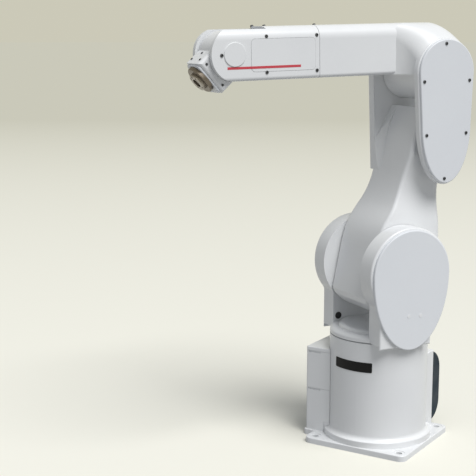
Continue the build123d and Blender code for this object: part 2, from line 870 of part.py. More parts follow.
with BuildPart() as tool_flange:
    with BuildSketch(ahead(wrist, disc_end)):
        Circle(flange_d / 2)
    extrude(amount=wrist_length - disc_end)
    chamfer(tool_flange.edges().sort_by(toolwards)[-1], flange_edge_radius)
    with BuildSketch(ahead(wrist, wrist_length)):
        Circle(flange_pilot_d / 2)
    extrude(amount=-flange_pilot_depth, mode=Mode.SUBTRACT)
    with BuildSketch(ahead(wrist, wrist_length)):
        with PolarLocations(flange_bolt_circle / 2, 4, start_angle=45):
            Circle(flange_bolt_hole_d / 2)
        with Locations((0, flange_bolt_circle / 2)):
            Circle(flange_pin_d / 2)
    extrude(amount=-flange_bolt_depth, mode=Mode.SUBTRACT)
save(tool_flange, "tool_flange")
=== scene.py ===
import json
from math import cos, pi, radians, sin, sqrt

import bmesh
import bpy
from mathutils import Matrix, Vector


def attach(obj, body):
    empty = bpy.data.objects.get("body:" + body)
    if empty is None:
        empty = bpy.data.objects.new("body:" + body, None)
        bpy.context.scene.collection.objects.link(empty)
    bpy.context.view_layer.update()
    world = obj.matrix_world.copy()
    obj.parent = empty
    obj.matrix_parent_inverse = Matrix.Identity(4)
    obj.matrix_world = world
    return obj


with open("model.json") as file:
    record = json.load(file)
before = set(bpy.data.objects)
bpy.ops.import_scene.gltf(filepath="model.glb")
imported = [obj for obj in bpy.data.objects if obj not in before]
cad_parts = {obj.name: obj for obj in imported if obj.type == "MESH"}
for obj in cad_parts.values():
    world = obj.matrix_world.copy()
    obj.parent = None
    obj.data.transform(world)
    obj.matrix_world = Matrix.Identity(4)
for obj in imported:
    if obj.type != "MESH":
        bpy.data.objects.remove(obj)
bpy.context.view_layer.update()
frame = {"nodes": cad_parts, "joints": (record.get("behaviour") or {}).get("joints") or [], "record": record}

nodes = frame["nodes"]
joints = {joint["name"]: joint for joint in frame["joints"]}
MM = 0.001                      # one millimetre in the scene's metres


# Frames of the moving bodies, taken from the joints

def joint_point(name):
    return Vector(joints[name]["pos_m"])


def joint_axis(name):
    return Vector(joints[name]["axis"]).normalized()


def body_frame(origin, forward, left):
    """Matrix whose columns are forward, left and up at a point of the arm."""
    up = forward.cross(left)
    turn = Matrix((forward, left, up)).transposed().to_4x4()
    return Matrix.Translation(origin) @ turn


left_dir = joint_axis("shoulder_swing")
up_dir = Vector((0, 0, 1))
forward_dir = left_dir.cross(up_dir)
shoulder_point = joint_point("shoulder_swing")
elbow_point = joint_point("elbow_swing")
upper_arm_dir = (elbow_point - shoulder_point).normalized()
upper_arm_length = (elbow_point - shoulder_point).length / MM

BASE = Matrix.Identity(4)
SHOULDER = body_frame(Vector((0, 0, 0)), forward_dir, left_dir)
UPPER = body_frame(shoulder_point, left_dir.cross(upper_arm_dir), left_dir)
FORE = body_frame(elbow_point, joint_axis("forearm_roll"), left_dir)
WRIST = body_frame(joint_point("wrist_bend"), joint_axis("tool_turn"), left_dir)


# Node helpers

# Sockets of a colour mix, which share their names with those of its other kinds
MIX_LOW = 6
MIX_HIGH = 7
MIX_RESULT = 2


def new_material(name):
    material = bpy.data.materials.new(name)
    material.use_nodes = True
    tree = material.node_tree
    tree.nodes.clear()
    output = tree.nodes.new("ShaderNodeOutputMaterial")
    principled = tree.nodes.new("ShaderNodeBsdfPrincipled")
    tree.links.new(principled.outputs["BSDF"], output.inputs["Surface"])
    return material, tree, principled


def object_coordinates(tree):
    return tree.nodes.new("ShaderNodeTexCoord").outputs["Object"]


def noise(tree, vector, scale, detail):
    """Noise value; the scale counts its cells for each metre."""
    node = tree.nodes.new("ShaderNodeTexNoise")
    node.inputs["Scale"].default_value = scale
    node.inputs["Detail"].default_value = detail
    tree.links.new(vector, node.inputs["Vector"])
    return node.outputs["Fac"]


def map_range(tree, value, from_min, from_max, to_min, to_max):
    node = tree.nodes.new("ShaderNodeMapRange")
    node.inputs["From Min"].default_value = from_min
    node.inputs["From Max"].default_value = from_max
    node.inputs["To Min"].default_value = to_min
    node.inputs["To Max"].default_value = to_max
    tree.links.new(value, node.inputs["Value"])
    return node.outputs["Result"]


def mix_colors(tree, factor, low, high):
    """Colour mix; each colour is a socket or an RGB tuple."""
    node = tree.nodes.new("ShaderNodeMix")
    node.data_type = "RGBA"
    tree.links.new(factor, node.inputs["Factor"])
    for index, value in ((MIX_LOW, low), (MIX_HIGH, high)):
        if isinstance(value, tuple):
            node.inputs[index].default_value = (*value, 1.0)
        else:
            tree.links.new(value, node.inputs[index])
    return node.outputs[MIX_RESULT]


def math_node(tree, operation, first, second):
    """Result of an operation on two values; each value is a socket or a number."""
    node = tree.nodes.new("ShaderNodeMath")
    node.operation = operation
    for index, value in enumerate((first, second)):
        if isinstance(value, float):
            node.inputs[index].default_value = value
        else:
            tree.links.new(value, node.inputs[index])
    return node.outputs["Value"]


def bump(tree, height, distance, strength=1.0):
    node = tree.nodes.new("ShaderNodeBump")
    node.inputs["Distance"].default_value = distance
    node.inputs["Strength"].default_value = strength
    tree.links.new(height, node.inputs["Height"])
    return node.outputs["Normal"]


# Shared effects

TONE_SCALE = 6.0
GLOSS_SCALE = 38.0
# The next four set the painted shade and dust in corners and joints
CORNER_CLOUD_SCALE = 60.0
CORNER_SHADE_SAMPLES = 8
CORNER_SHADE_OPEN = 0.75                # no painted shade and no dust lie where a spot is more open than this
CORNER_SHADE_CLOSED = 0.25              # and all of both where the spot is more closed than this


def new_effect(name, input_name, output_names):
    """Node group with one value that goes in and the named values that come out."""
    group = bpy.data.node_groups.new(name, "ShaderNodeTree")
    group.interface.new_socket(name=input_name, in_out="INPUT", socket_type="NodeSocketFloat")
    for output_name in output_names:
        group.interface.new_socket(name=output_name, in_out="OUTPUT", socket_type="NodeSocketFloat")
    inputs = group.nodes.new("NodeGroupInput")
    outputs = group.nodes.new("NodeGroupOutput")
    return group, inputs.outputs[input_name], outputs.inputs


def build_paint_film():
    """Slight unevenness of a sprayed or moulded skin: tone, gloss and a fine surface height."""
    group, peel_scale, results = new_effect("paint_film", "Peel Scale", ("Tone", "Gloss", "Peel"))
    place = object_coordinates(group)
    peel = group.nodes.new("ShaderNodeTexNoise")
    peel.inputs["Detail"].default_value = 1.0
    group.links.new(peel_scale, peel.inputs["Scale"])
    group.links.new(place, peel.inputs["Vector"])
    group.links.new(noise(group, place, TONE_SCALE, detail=4.0), results["Tone"])
    group.links.new(noise(group, place, GLOSS_SCALE, detail=2.0), results["Gloss"])
    group.links.new(peel.outputs["Fac"], results["Peel"])
    return group


def build_corner_shade_and_dust():
    """Mask of painted shade in corners and joints, where little light reaches, with fine dust clouded
    through it.
    """
    group, reach, results = new_effect("corner_shade_and_dust", "Reach", ("Shade and Dust",))
    # Ambient occlusion finds the hidden corners, where the painted shade goes
    hidden = group.nodes.new("ShaderNodeAmbientOcclusion")
    hidden.samples = CORNER_SHADE_SAMPLES
    group.links.new(reach, hidden.inputs["Distance"])
    closed = map_range(group, hidden.outputs["AO"], CORNER_SHADE_CLOSED, CORNER_SHADE_OPEN, 1.0, 0.0)
    cloud = noise(group, object_coordinates(group), CORNER_CLOUD_SCALE, detail=3.0)
    group.links.new(math_node(group, "MULTIPLY", closed, cloud), results["Shade and Dust"])
    return group


paint_film = build_paint_film()
corner_shade_and_dust = build_corner_shade_and_dust()


def place_effect(tree, group, input_name, value):
    node = tree.nodes.new("ShaderNodeGroup")
    node.node_tree = group
    node.inputs[input_name].default_value = value
    return node.outputs


# Materials

NOISE_LOW = 0.3                 # most of a noise lies between these two
NOISE_HIGH = 0.7
# Reach of the occlusion that lays painted shade and dust in corners
SHADE_AND_DUST_REACH = 0.012
SHADE_AND_DUST_TONE = 0.55               # painted corner shade and dust darken the skin to this share of its shade colour
COAT_ROUGHNESS = 0.25
RING_DISTORTION = 1.5
STAIN_SCALE = 90.0
POLISHED = 0.08                 # change of a turned metal's roughness where it is clean
TARNISHED = 0.12                # and where it is stained
GROOVE_DEPTH = 0.00015
GROOVE_STRENGTH = 0.5
GRAIN_SPREAD = 0.08
GRAIN_LOW = 0.2
GRAIN_HIGH = 0.8


def coated_material(
    name, color, shade, roughness, gloss_spread, peel_scale, peel_depth, coat=0.0, shade_and_dust_strength=0.2, specular=0.5
):
    """Painted or moulded skin: tone drifts between two colours, corners get painted shade and a little dust.
    """
    material, tree, principled = new_material(name)
    film = place_effect(tree, paint_film, "Peel Scale", peel_scale)
    shade_and_dust = place_effect(tree, corner_shade_and_dust, "Reach", SHADE_AND_DUST_REACH)
    tone = map_range(tree, film["Tone"], NOISE_LOW, NOISE_HIGH, 0.0, 1.0)
    skin = mix_colors(tree, tone, color, shade)
    # Painted shade and dust darken the skin in its corners and joints
    shade_and_dust_amount = math_node(tree, "MULTIPLY", shade_and_dust["Shade and Dust"], shade_and_dust_strength)
    shaded_dusty_color = tuple(SHADE_AND_DUST_TONE * part for part in shade)
    tree.links.new(mix_colors(tree, shade_and_dust_amount, skin, shaded_dusty_color), principled.inputs["Base Color"])
    low, high = roughness - gloss_spread, roughness + gloss_spread
    gloss = map_range(tree, film["Gloss"], NOISE_LOW, NOISE_HIGH, low, high)
    tree.links.new(gloss, principled.inputs["Roughness"])
    tree.links.new(bump(tree, film["Peel"], peel_depth), principled.inputs["Normal"])
    principled.inputs["Specular IOR Level"].default_value = specular
    principled.inputs["Coat Weight"].default_value = coat
    principled.inputs["Coat Roughness"].default_value = COAT_ROUGHNESS
    return material


def turned_metal(name, axis_frame, color, shade, roughness, groove_scale):
    """Metal with fine rings round the frame's forward axis."""
    material, tree, principled = new_material(name)
    mapping = tree.nodes.new("ShaderNodeMapping")
    mapping.vector_type = "TEXTURE"
    mapping.inputs["Location"].default_value = axis_frame.translation
    mapping.inputs["Rotation"].default_value = axis_frame.to_euler()
    tree.links.new(object_coordinates(tree), mapping.inputs["Vector"])
    rings = tree.nodes.new("ShaderNodeTexWave")
    rings.wave_type = "RINGS"
    rings.rings_direction = "X"
    rings.inputs["Scale"].default_value = groove_scale
    rings.inputs["Distortion"].default_value = RING_DISTORTION
    rings.inputs["Detail"].default_value = 2.0
    tree.links.new(mapping.outputs["Vector"], rings.inputs["Vector"])
    stain = noise(tree, mapping.outputs["Vector"], STAIN_SCALE, detail=4.0)
    tree.links.new(mix_colors(tree, stain, color, shade), principled.inputs["Base Color"])
    low, high = roughness - POLISHED, roughness + TARNISHED
    worn = map_range(tree, stain, NOISE_LOW, NOISE_HIGH, low, high)
    tree.links.new(worn, principled.inputs["Roughness"])
    grooves = bump(tree, rings.outputs["Fac"], GROOVE_DEPTH, GROOVE_STRENGTH)
    tree.links.new(grooves, principled.inputs["Normal"])
    principled.inputs["Metallic"].default_value = 1.0
    return material


def grained_material(name, color, shade, roughness, grain_scale, grain_depth, metallic=0.0, specular=0.5):
    """Plain finish with a fine grain, for screws, seals, sockets and plates."""
    material, tree, principled = new_material(name)
    grain = noise(tree, object_coordinates(tree), grain_scale, detail=3.0)
    tree.links.new(mix_colors(tree, grain, color, shade), principled.inputs["Base Color"])
    low, high = roughness - GRAIN_SPREAD, roughness + GRAIN_SPREAD
    gloss = map_range(tree, grain, GRAIN_LOW, GRAIN_HIGH, low, high)
    tree.links.new(gloss, principled.inputs["Roughness"])
    tree.links.new(bump(tree, grain, grain_depth), principled.inputs["Normal"])
    principled.inputs["Metallic"].default_value = metallic
    principled.inputs["Specular IOR Level"].default_value = specular
    return material


# Gloss paint of the castings
white_casting = coated_material(
    "white_casting",
    color=(0.80, 0.81, 0.815),
    shade=(0.77, 0.78, 0.79),
    roughness=0.34,
    gloss_spread=0.05,
    peel_scale=650.0,
    peel_depth=0.00006,
    coat=0.25,
)
# Satin moulded covers, a little cooler in tone
white_cover = coated_material(
    "white_cover",
    color=(0.755, 0.775, 0.80),
    shade=(0.73, 0.75, 0.78),
    roughness=0.42,
    gloss_spread=0.05,
    peel_scale=1400.0,
    peel_depth=0.00005,
    coat=0.1,
)
# Blue-black guard at the back of the tower
dark_cover = coated_material(
    "dark_cover",
    color=(0.009, 0.021, 0.034),
    shade=(0.012, 0.027, 0.042),
    roughness=0.5,
    gloss_spread=0.07,
    peel_scale=1200.0,
    peel_depth=0.00008,
    shade_and_dust_strength=0.1,
    specular=0.15,
)
# Rubber of the roll joint and of the grommet
black_seal = grained_material(
    "black_seal",
    color=(0.018, 0.018, 0.019),
    shade=(0.03, 0.03, 0.031),
    roughness=0.6,
    grain_scale=400.0,
    grain_depth=0.00005,
)
# Dusty rubber round the turntable
pale_seal = grained_material(
    "pale_seal",
    color=(0.42, 0.43, 0.44),
    shade=(0.36, 0.37, 0.38),
    roughness=0.6,
    grain_scale=400.0,
    grain_depth=0.00005,
)
# Sockets of the cable inlets
black_connector = grained_material(
    "black_connector",
    color=(0.02, 0.02, 0.022),
    shade=(0.035, 0.035, 0.037),
    roughness=0.45,
    grain_scale=700.0,
    grain_depth=0.00004,
)
# Blackened steel of every screw
black_screw = grained_material(
    "black_screw",
    color=(0.05, 0.052, 0.056),
    shade=(0.08, 0.082, 0.088),
    roughness=0.38,
    grain_scale=900.0,
    grain_depth=0.00003,
    metallic=0.6,
)
# Blank plate on the tower
black_plate = grained_material(
    "black_plate",
    color=(0.006, 0.006, 0.0065),
    shade=(0.01, 0.01, 0.011),
    roughness=0.5,
    grain_scale=900.0,
    grain_depth=0.00002,
    specular=0.15,
)
# Stripe on the forearm
red_paint = grained_material(
    "red_paint",
    color=(0.55, 0.055, 0.075),
    shade=(0.62, 0.07, 0.09),
    roughness=0.4,
    grain_scale=500.0,
    grain_depth=0.00002,
)
# Contacts in the cable inlets
brass_contact = grained_material(
    "brass_contact",
    color=(0.62, 0.44, 0.2),
    shade=(0.7, 0.52, 0.27),
    roughness=0.3,
    grain_scale=800.0,
    grain_depth=0.00003,
    metallic=1.0,
)
# Gear head behind the flange
reducer_metal = turned_metal(
    "reducer_metal",
    axis_frame=WRIST,
    color=(0.13, 0.11, 0.09),
    shade=(0.21, 0.18, 0.15),
    roughness=0.36,
    groove_scale=260.0,
)
# Tool flange
flange_metal = turned_metal(
    "flange_metal",
    axis_frame=WRIST,
    color=(0.26, 0.235, 0.21),
    shade=(0.36, 0.33, 0.29),
    roughness=0.32,
    groove_scale=320.0,
)

SLOT_MATERIALS = {
    "white_casting": white_casting,
    "white_cover": white_cover,
    "dark_cover": dark_cover,
    "black_seal": black_seal,
    "black_connector": black_connector,
    "reducer_metal": reducer_metal,
    "flange_metal": flange_metal,
}
# Covers that are painted along with the casting they close, and the dusty seal of the turntable
NODE_MATERIALS = {
    "forearm_panel_left": white_casting,
    "forearm_panel_right": white_casting,
    "fork_cap_left": white_casting,
    "fork_cap_right": white_casting,
    "base_seal": pale_seal,
}
for row in frame["record"]["subparts"]:
    node = nodes[row["node"]]
    node.data.materials.clear()
    node.data.materials.append(NODE_MATERIALS.get(row["node"], SLOT_MATERIALS[row["material_slot"]]))


# Tools for the pieces, in millimetres of a body frame

BOSS_SUNK = 0.5                 # how far a boss reaches into what it stands on


def make_mesh(mesh_builder, name):
    """Turns a bmesh into a mesh, and frees it."""
    mesh = bpy.data.meshes.new(name)
    mesh_builder.to_mesh(mesh)
    mesh_builder.free()
    return mesh


def finish_piece(mesh_builder, name, material, body, axes):
    """Turns a bmesh made in millimetres of a body frame into a piece that rides on the body."""
    bmesh.ops.scale(mesh_builder, vec=(MM, MM, MM), verts=mesh_builder.verts)
    bmesh.ops.transform(mesh_builder, matrix=axes, verts=mesh_builder.verts)
    bmesh.ops.recalc_face_normals(mesh_builder, faces=mesh_builder.faces)
    mesh = make_mesh(mesh_builder, name)
    mesh.materials.append(material)
    piece = bpy.data.objects.new(name, mesh)
    bpy.context.scene.collection.objects.link(piece)
    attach(piece, body)


def seat(x, y, z, outwards):
    """Place on a surface, with its z axis pointing outwards."""
    turn = Vector(outwards).to_track_quat("Z", "Y").to_matrix().to_4x4()
    return Matrix.Translation((x, y, z)) @ turn


def on_circle(middle, radius, index, count, offset=0.0):
    """Point of an even ring of points round a middle; the offset is a share of a step."""
    angle = 2 * pi * (index + offset) / count
    return middle[0] + radius * cos(angle), middle[1] + radius * sin(angle)


def stamp(mesh_builder, template, place):
    """Adds a copy of a template mesh at a place."""
    known = len(mesh_builder.verts)
    mesh_builder.from_mesh(template)
    mesh_builder.verts.ensure_lookup_table()
    bmesh.ops.transform(mesh_builder, matrix=place, verts=mesh_builder.verts[known:])


def everything(mesh_builder):
    return mesh_builder.verts[:] + mesh_builder.edges[:] + mesh_builder.faces[:]


def top_face(mesh_builder):
    return max(mesh_builder.faces, key=lambda face: face.calc_center_median().z)


def round_edges(mesh_builder, edges, radius, segments):
    bmesh.ops.bevel(
        mesh_builder,
        geom=edges,
        offset=radius,
        segments=segments,
        profile=0.5,
        affect="EDGES",
        material=-1,
    )


def sweep_round_tower(mesh_builder, from_degrees, to_degrees, steps):
    """Sweeps a section that is drawn over the x axis round the z axis."""
    start = Matrix.Rotation(radians(from_degrees), 4, "Z")
    bmesh.ops.transform(mesh_builder, matrix=start, verts=mesh_builder.verts)
    bmesh.ops.spin(
        mesh_builder,
        geom=everything(mesh_builder),
        cent=(0, 0, 0),
        axis=(0, 0, 1),
        angle=radians(to_degrees - from_degrees),
        steps=steps,
    )


def round_boss(radius, height, edge_radius, segments=32):
    """Low cylinder that stands on z = 0, sunk a little, with a rounded upper edge."""
    mesh_builder = bmesh.new()
    bmesh.ops.create_cone(
        mesh_builder,
        cap_ends=True,
        segments=segments,
        radius1=radius,
        radius2=radius,
        depth=height + BOSS_SUNK,
        matrix=Matrix.Translation((0, 0, (height - BOSS_SUNK) / 2)),
    )
    round_edges(mesh_builder, list(top_face(mesh_builder).edges), edge_radius, segments=4)
    return mesh_builder


def sink_recess(mesh_builder, radius, rim_radius, depth, sides=0):
    """Presses a recess into the top face: round, or a polygon where it is given sides."""
    face = top_face(mesh_builder)
    inset = rim_radius - radius
    bmesh.ops.inset_region(mesh_builder, faces=[face], thickness=inset, use_even_offset=True)
    if sides:
        step = 2 * pi / sides
        for corner in face.verts:
            # Each corner moves straight inwards, onto its side of the polygon
            flat = corner.co.xy
            off_middle = (flat.angle_signed(Vector((1, 0))) % step) - step / 2
            corner.co.xy = flat.normalized() * radius * cos(step / 2) / cos(off_middle)
    pressed = bmesh.ops.extrude_discrete_faces(mesh_builder, faces=[face])["faces"][0]
    bmesh.ops.translate(mesh_builder, vec=(0, 0, -depth), verts=pressed.verts)


SOCKET_WIDTH = 0.52             # of a screw head's radius, from the middle to a corner
SOCKET_DEPTH = 0.65             # of its height


def screw_template(name, head_radius, head_height, edge_radius):
    """Screw head with a rounded edge and a hexagon socket."""
    head = round_boss(head_radius, head_height, edge_radius, segments=36)
    rim_radius = head_radius - edge_radius
    sink_recess(head, SOCKET_WIDTH * head_radius, rim_radius, SOCKET_DEPTH * head_height, sides=6)
    return make_mesh(head, name)


cover_screw = screw_template("cover_screw", head_radius=3.6, head_height=2.0, edge_radius=1.4)
small_screw = screw_template("small_screw", head_radius=2.7, head_height=1.6, edge_radius=1.1)
top_screw = screw_template("top_screw", head_radius=3.3, head_height=4.6, edge_radius=0.6)


def add_screws(name, template, body, axes, places):
    mesh_builder = bmesh.new()
    for place in places:
        stamp(mesh_builder, template, place)
    finish_piece(mesh_builder, name, black_screw, body, axes)


# Forearm, forwards, left and up from the elbow axis
FLANK = 45.0                    # half the width of the forearm
TUBE_TOP = 103.5
TUBE_TOP_RADIUS = 26.0
FLANK_SCREW_XS = (283.0, 399.0)
UPPER_SCREW_Z = 84.0
LOWER_SCREW_Z = 12.5
NOSE_SCREW_X = 499.0
NOSE_SCREW_Z = 49.0
TOP_SCREW_XS = (365.0, 393.0)
REAR_TOP_SCREW_X = 246.0
TOP_SCREW_ACROSS = 30.0         # from the middle plane to the right


def on_tube_edge(x, across, hand):
    """Seat on the round upper edge of the forearm, at a distance from its middle plane."""
    start = FLANK - TUBE_TOP_RADIUS
    lean = (across - start) / TUBE_TOP_RADIUS
    level = sqrt(1 - lean**2)
    drop = TUBE_TOP_RADIUS * (1 - level)
    return seat(x, hand * across, TUBE_TOP - drop, (0, hand * lean, level))


def add_forearm_screws():
    rise = (UPPER_SCREW_Z - TUBE_TOP + TUBE_TOP_RADIUS) / TUBE_TOP_RADIUS
    upper_across = FLANK - TUBE_TOP_RADIUS * (1 - sqrt(1 - rise**2))
    places = []
    for hand in (1, -1):
        for x in FLANK_SCREW_XS:
            places.append(on_tube_edge(x, upper_across, hand))
            places.append(seat(x, hand * FLANK, LOWER_SCREW_Z, (0, hand, 0)))
        places.append(seat(NOSE_SCREW_X, hand * FLANK, NOSE_SCREW_Z, (0, hand, 0)))
    add_screws("forearm_screws", cover_screw, "forearm", FORE, places)
    top = [on_tube_edge(x, TOP_SCREW_ACROSS, -1) for x in TOP_SCREW_XS]
    add_screws("forearm_top_screws", top_screw, "forearm", FORE, top)
    rear = [on_tube_edge(REAR_TOP_SCREW_X, TOP_SCREW_ACROSS, -1)]
    add_screws("rear_forearm_screw", top_screw, "elbow", FORE, rear)


STRIPE_START = 321.0
STRIPE_END = 487.0
STRIPE_Z = 23.0                 # just under the bearing cap
STRIPE_HEIGHT = 5.0
STRIPE_THICKNESS = 0.25
PANEL_END = 434.0
PANEL_PROUD = 0.4


def add_stripe_run(mesh_builder, start, end, surface):
    """One straight run of the stripe on a surface of the left flank."""
    run = bmesh.ops.create_cube(mesh_builder, size=1.0)["verts"]
    bmesh.ops.scale(mesh_builder, vec=(end - start, STRIPE_THICKNESS, STRIPE_HEIGHT), verts=run)
    middle = ((start + end) / 2, surface + STRIPE_THICKNESS / 2, STRIPE_Z)
    bmesh.ops.translate(mesh_builder, vec=middle, verts=run)
    edges = {edge for vert in run for edge in vert.link_edges}
    round_edges(mesh_builder, list(edges), STRIPE_THICKNESS / 3, segments=2)


def add_red_stripe():
    """Plain stripe that runs over the panel and on along the fork's flank."""
    mesh_builder = bmesh.new()
    add_stripe_run(mesh_builder, STRIPE_START, PANEL_END, FLANK + PANEL_PROUD)
    add_stripe_run(mesh_builder, PANEL_END, STRIPE_END, FLANK)
    finish_piece(mesh_builder, "red_stripe", red_paint, "forearm", FORE)


# Elbow cover, forwards and up from the elbow axis
ELBOW_COVER_FACE = 106.0
ELBOW_COVER_SCREWS = (
    (4.0, 60.0),
    (59.0, -18.0),
    (-57.0, -19.0),
    (52.0, -131.0),
    (-50.0, -131.0),
    (5.0, -226.0),
)


def add_elbow_cover_screws():
    places = [seat(x, ELBOW_COVER_FACE, z, (0, 1, 0)) for x, z in ELBOW_COVER_SCREWS]
    add_screws("elbow_cover_screws", cover_screw, "elbow", FORE, places)


# Cap on the other side of the elbow, round the elbow axis
ELBOW_CAP_FACE = -80.0
ELBOW_CAP_SCREW_CIRCLE = 60.0
ELBOW_CAP_SCREWS = 6


def add_elbow_cap_screws():
    middle = (0.0, upper_arm_length)
    places = []
    for index in range(ELBOW_CAP_SCREWS):
        x, z = on_circle(middle, ELBOW_CAP_SCREW_CIRCLE, index, ELBOW_CAP_SCREWS, offset=0.5)
        places.append(seat(x, ELBOW_CAP_FACE, z, (0, -1, 0)))
    add_screws("elbow_cap_screws", cover_screw, "upper_arm", UPPER, places)


# Back cover of the upper arm, across from its middle and down from the elbow axis
BACK_COVER_FACE = -74.0
BACK_SCREW_Y = 38.0
BACK_SCREW_DROPS = (108.0, 204.0)


def add_back_cover_screws():
    places = []
    for y in (-BACK_SCREW_Y, BACK_SCREW_Y):
        for drop in BACK_SCREW_DROPS:
            places.append(seat(BACK_COVER_FACE, y, upper_arm_length - drop, (-1, 0, 0)))
    add_screws("back_cover_screws", small_screw, "upper_arm", UPPER, places)


# Wrist, forwards, left and up from the wrist axis along the tool
WRIST_FLANK = 32.5
WRIST_TOP = 36.0
WRIST_BOTTOM = -43.0
WRIST_FLANK_SCREWS = ((54.0, 24.0), (56.0, -30.0), (38.0, -34.0))
WRIST_TOP_SCREWS = ((36.0, 0.0), (54.0, 20.0), (54.0, -20.0))
WRIST_BOTTOM_SCREWS = ((52.0, 20.0), (52.0, -20.0))


def add_wrist_screws():
    places = []
    for hand in (1, -1):
        for x, z in WRIST_FLANK_SCREWS:
            places.append(seat(x, hand * WRIST_FLANK, z, (0, hand, 0)))
    for x, y in WRIST_TOP_SCREWS:
        places.append(seat(x, y, WRIST_TOP, (0, 0, 1)))
    for x, y in WRIST_BOTTOM_SCREWS:
        places.append(seat(x, y, WRIST_BOTTOM, (0, 0, -1)))
    add_screws("wrist_screws", small_screw, "wrist", WRIST, places)


# Shoulder, forwards and left of the turning axis and up from the floor
SHOULDER_COVER_FACE = 125.6
LEFT_PLUGS = ((7.0, 310.0), (-23.0, 309.0))
PLUG_RADIUS = 4.0
PLUG_HEIGHT = 0.5
RIGHT_COVER_SCREWS = ((-56.0, 262.0), (56.0, 262.0), (-84.0, 400.0), (84.0, 400.0), (0.0, 484.0))
EAR_INNER = 75.0
GROMMET_X = 61.5
GROMMET_Z = 274.0
GROMMET_RADIUS = 8.0
GROMMET_HEIGHT = 1.5
GROMMET_EDGE_RADIUS = 0.6
GROMMET_BORE = 5.5
GROMMET_DEPTH = 1.2


def add_shoulder_plugs():
    plug = make_mesh(round_boss(PLUG_RADIUS, PLUG_HEIGHT, PLUG_HEIGHT / 2), "cover_plug")
    plugs = bmesh.new()
    for x, z in LEFT_PLUGS:
        stamp(plugs, plug, seat(x, SHOULDER_COVER_FACE, z, (0, 1, 0)))
    finish_piece(plugs, "shoulder_cover_plugs", white_casting, "shoulder", SHOULDER)


def add_shoulder_cover_screws():
    places = [seat(x, -SHOULDER_COVER_FACE, z, (0, -1, 0)) for x, z in RIGHT_COVER_SCREWS]
    add_screws("shoulder_cover_screws", cover_screw, "shoulder", SHOULDER, places)


def add_ear_grommet():
    """Black grommet on the inner face of the right ear."""
    grommet = round_boss(GROMMET_RADIUS, GROMMET_HEIGHT, GROMMET_EDGE_RADIUS, segments=40)
    sink_recess(grommet, GROMMET_BORE, GROMMET_RADIUS - GROMMET_EDGE_RADIUS, GROMMET_DEPTH)
    place = seat(GROMMET_X, -EAR_INNER, GROMMET_Z, (0, 1, 0))
    bmesh.ops.transform(grommet, matrix=place, verts=grommet.verts)
    finish_piece(grommet, "ear_grommet", black_seal, "shoulder", SHOULDER)


# Base, in the foot's own frame
TOWER_RADIUS = 109.5
PLATE_FROM = -32.0              # degrees round the tower from the front
PLATE_TO = 18.5
PLATE_BOTTOM = 181.0
PLATE_TOP = 203.0
PLATE_THICKNESS = 0.8
PLATE_SUNK = 0.1
PLATE_CORNER_RADIUS = 2.5
PLATE_STEPS = 40
ANGLE_TOLERANCE = 0.2
LENGTH_TOLERANCE = 0.01


def is_plate_corner(edge):
    """True for the four short edges at the plate's corners."""
    if len(edge.link_faces) != 2:
        return False
    square = abs(edge.calc_face_angle() - pi / 2) < ANGLE_TOLERANCE
    return square and abs(edge.calc_length() - PLATE_THICKNESS) < LENGTH_TOLERANCE


def add_blank_plate():
    """Blank black plate bent round the tower."""
    mesh_builder = bmesh.new()
    upright = Matrix.Rotation(pi / 2, 4, "X")
    bmesh.ops.create_grid(mesh_builder, x_segments=1, y_segments=1, size=0.5, matrix=upright)
    size = (PLATE_THICKNESS, 1, PLATE_TOP - PLATE_BOTTOM)
    bmesh.ops.scale(mesh_builder, vec=size, verts=mesh_builder.verts)
    middle = (TOWER_RADIUS + PLATE_THICKNESS / 2 - PLATE_SUNK, 0, (PLATE_TOP + PLATE_BOTTOM) / 2)
    bmesh.ops.translate(mesh_builder, vec=middle, verts=mesh_builder.verts)
    sweep_round_tower(mesh_builder, PLATE_FROM, PLATE_TO, PLATE_STEPS)
    corners = [edge for edge in mesh_builder.edges if is_plate_corner(edge)]
    round_edges(mesh_builder, corners, PLATE_CORNER_RADIUS, segments=5)
    finish_piece(mesh_builder, "blank_plate", black_plate, "base", BASE)


INLET_Y = -117.0
INLET_FLOOR_X = -116.0
POWER_INLET_Z = 150.0
POWER_PIN_RADIUS = 1.3
POWER_PIN_LENGTH = 6.0
POWER_PIN_CIRCLE = 7.0
POWER_PINS = 6
SIGNAL_INLET_Z = 70.0
SIGNAL_PIN_RADIUS = 0.8
SIGNAL_PIN_LENGTH = 5.0
SIGNAL_ROWS = 2
SIGNAL_PINS_PER_ROW = 10
SIGNAL_PIN_PITCH = 4.0
SIGNAL_ROW_PITCH = 8.0


def pin_template(radius, length):
    return make_mesh(round_boss(radius, length, radius / 2, segments=12), "pin")


def add_inlet_pins():
    """Contacts on the floors of the two cable inlets."""
    mesh_builder = bmesh.new()
    power_pin = pin_template(POWER_PIN_RADIUS, POWER_PIN_LENGTH)
    signal_pin = pin_template(SIGNAL_PIN_RADIUS, SIGNAL_PIN_LENGTH)
    for index in range(POWER_PINS):
        y, z = on_circle((INLET_Y, POWER_INLET_Z), POWER_PIN_CIRCLE, index, POWER_PINS)
        stamp(mesh_builder, power_pin, seat(INLET_FLOOR_X, y, z, (-1, 0, 0)))
    for row_index in range(SIGNAL_ROWS):
        y = INLET_Y + (row_index - (SIGNAL_ROWS - 1) / 2) * SIGNAL_ROW_PITCH
        for index in range(SIGNAL_PINS_PER_ROW):
            z = SIGNAL_INLET_Z + (index - (SIGNAL_PINS_PER_ROW - 1) / 2) * SIGNAL_PIN_PITCH
            stamp(mesh_builder, signal_pin, seat(INLET_FLOOR_X, y, z, (-1, 0, 0)))
    finish_piece(mesh_builder, "inlet_pins", brass_contact, "base", BASE)


RING_RADIUS = 121.0
RING_TOP = 27.0
RING_FILLET = 9.0
RING_FILLET_STEPS = 8
SEAL_CLEARANCE = 0.25
SEAL_FROM = 110.0               # degrees round the tower, over the back to the wiring housing
SEAL_TO = 310.0
SEAL_STEPS = 120
HOUSING_FRONT = 69.8            # front of the wiring housing
HOUSING_LEFT = 86.8             # left side of the rear housing


